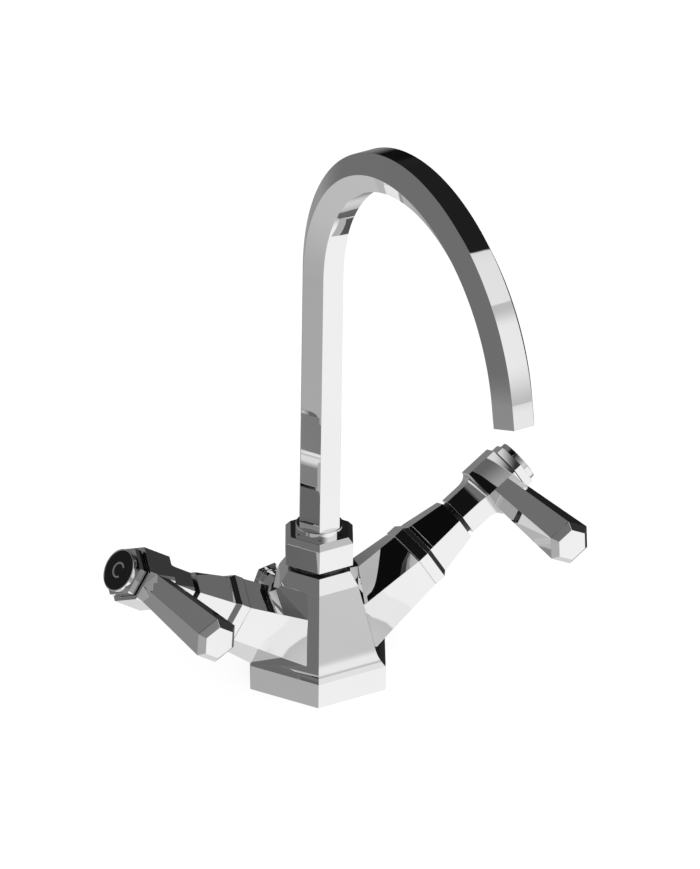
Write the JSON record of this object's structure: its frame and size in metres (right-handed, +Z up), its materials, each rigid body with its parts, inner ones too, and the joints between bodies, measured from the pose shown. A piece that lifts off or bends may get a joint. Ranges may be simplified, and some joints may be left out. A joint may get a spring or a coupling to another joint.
{
  "type": "tall basin mixer tap",
  "caption": "Tall deck-mounted basin mixer with a hexagonal body, two rising valve arms with lever handles, a swivelling swan-neck spout and a rear waste pull.",
  "frame": {"origin": "centre of the underside of the base, on the deck", "axes": "+Z up, -Y towards the user along the spout, -X along the cold arm and +X along the hot arm"},
  "size_m": [0.188, 0.1899, 0.2508],
  "materials": {
    "chrome_plate": "polished chrome plate on brass",
    "chromed_brass_turning": "chrome plate on a turned brass surface",
    "black_rubber": "moulded nitrile rubber",
    "black_nylon": "moulded black nylon",
    "white_acetal": "moulded white acetal",
    "bare_brass": "turned brass",
    "alumina_ceramic": "lapped alumina ceramic",
    "stainless_steel": "stainless steel screw",
    "black_enamel": "glossy black enamel",
    "silver_enamel": "pale silver enamel"
  },
  "bodies": {
    "mixer": {"mixer_body": "chrome_plate", "deck_seal": "black_rubber", "neck_ring": "black_nylon", "collar": "chrome_plate", "thrust_washer": "white_acetal", "cold_valve_body": "bare_brass", "hot_valve_body": "bare_brass", "cold_seat_seal": "black_rubber", "hot_seat_seal": "black_rubber", "cold_fixed_disc": "alumina_ceramic", "hot_fixed_disc": "alumina_ceramic", "cold_spindle_seal": "black_rubber", "hot_spindle_seal": "black_rubber", "cold_shroud": "chrome_plate", "hot_shroud": "chrome_plate", "cold_gap_ring": "black_nylon", "hot_gap_ring": "black_nylon", "pull_bush": "black_nylon", "pull_seal": "black_rubber"},
    "spout": {"spout_tail": "chromed_brass_turning", "tail_seals": "black_rubber", "spout_tube": "chrome_plate", "aerator_washer": "black_rubber", "aerator_housing": "chromed_brass_turning", "aerator_insert": "white_acetal"},
    "cold_handle": {"cold_turning_disc": "alumina_ceramic", "cold_spindle": "bare_brass", "cold_hub": "chrome_plate", "cold_lever": "chrome_plate", "cold_handle_screw": "stainless_steel", "cold_cap_ring": "black_nylon", "cold_cap": "chrome_plate", "cold_bezel": "chrome_plate", "cold_index": "black_enamel", "cold_letter": "silver_enamel"},
    "hot_handle": {"hot_turning_disc": "alumina_ceramic", "hot_spindle": "bare_brass", "hot_hub": "chrome_plate", "hot_lever": "chrome_plate", "hot_handle_screw": "stainless_steel", "hot_cap_ring": "black_nylon", "hot_cap": "chrome_plate", "hot_bezel": "chrome_plate", "hot_index": "black_enamel", "hot_letter": "silver_enamel"},
    "waste_pull": {"pull_rod": "chromed_brass_turning", "pull_knob": "chrome_plate"}
  },
  "joints": [
    {"name": "spout_swivel", "type": "hinge", "parent": "mixer", "child": "spout", "pos_m": [0, 0, 0.0564], "axis": [0, 0, 1], "range_deg": [-180, 180]},
    {"name": "cold_turn", "type": "hinge", "parent": "mixer", "child": "cold_handle", "pos_m": [0, 0, 0.0111], "axis": [-0.8415, 0, 0.5402], "range_deg": [0, 90]},
    {"name": "hot_turn", "type": "hinge", "parent": "mixer", "child": "hot_handle", "pos_m": [0, 0, 0.0111], "axis": [-0.8415, 0, -0.5402], "range_deg": [0, 90]},
    {"name": "pull_travel", "type": "slide", "parent": "mixer", "child": "waste_pull", "axis": [0, 1, 0], "range_m": [0, 0.008]}
  ]
}
